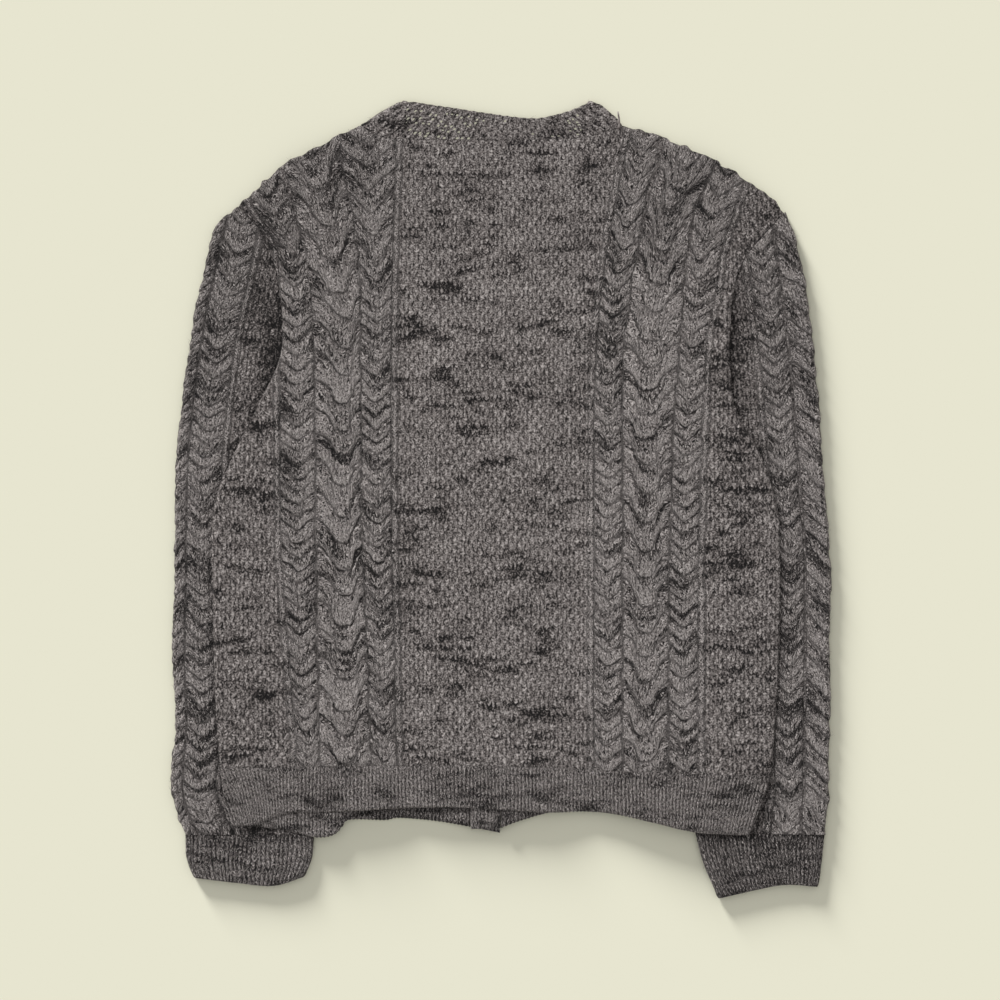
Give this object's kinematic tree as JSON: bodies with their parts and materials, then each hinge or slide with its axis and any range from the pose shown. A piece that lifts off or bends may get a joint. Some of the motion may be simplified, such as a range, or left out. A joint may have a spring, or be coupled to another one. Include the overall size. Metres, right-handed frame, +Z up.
{
  "type": "cable knit cardigan",
  "caption": "Long-sleeved V-neck cardigan of thick marled wool with cable and moss stitch panels and ribbed edges, buttoned and laid flat face down, sleeves under the sides",
  "frame": {"origin": "on the surface the cardigan lies on, under the middle of its bounding box", "axes": "+Z up from the surface; +Y along the back from the hem to the neck; +X to the wearer's right, the cardigan lying face down"},
  "size_m": [0.66, 0.7981, 0.0144],
  "materials": {
    "pattern_knit": "marled grey-brown wool with near-black flecks, cables and moss stitch, matt with a soft halo of fibre",
    "rib_knit": "the same wool in one by one rib, matt",
    "button": "dark brown horn-like resin, softly polished"
  },
  "bodies": {
    "root": {"back": "pattern_knit", "back_welt": "rib_knit", "front_left": "pattern_knit", "front_right": "pattern_knit", "front_left_welt": "rib_knit", "front_right_welt": "rib_knit", "sleeve_left": "pattern_knit", "sleeve_right": "pattern_knit", "cuff_left": "rib_knit", "cuff_right": "rib_knit", "front_neck_band": "rib_knit", "button_1": "button", "button_2": "button", "button_3": "button", "button_4": "button", "button_5": "button", "button_6": "button"}
  },
  "joints": []
}
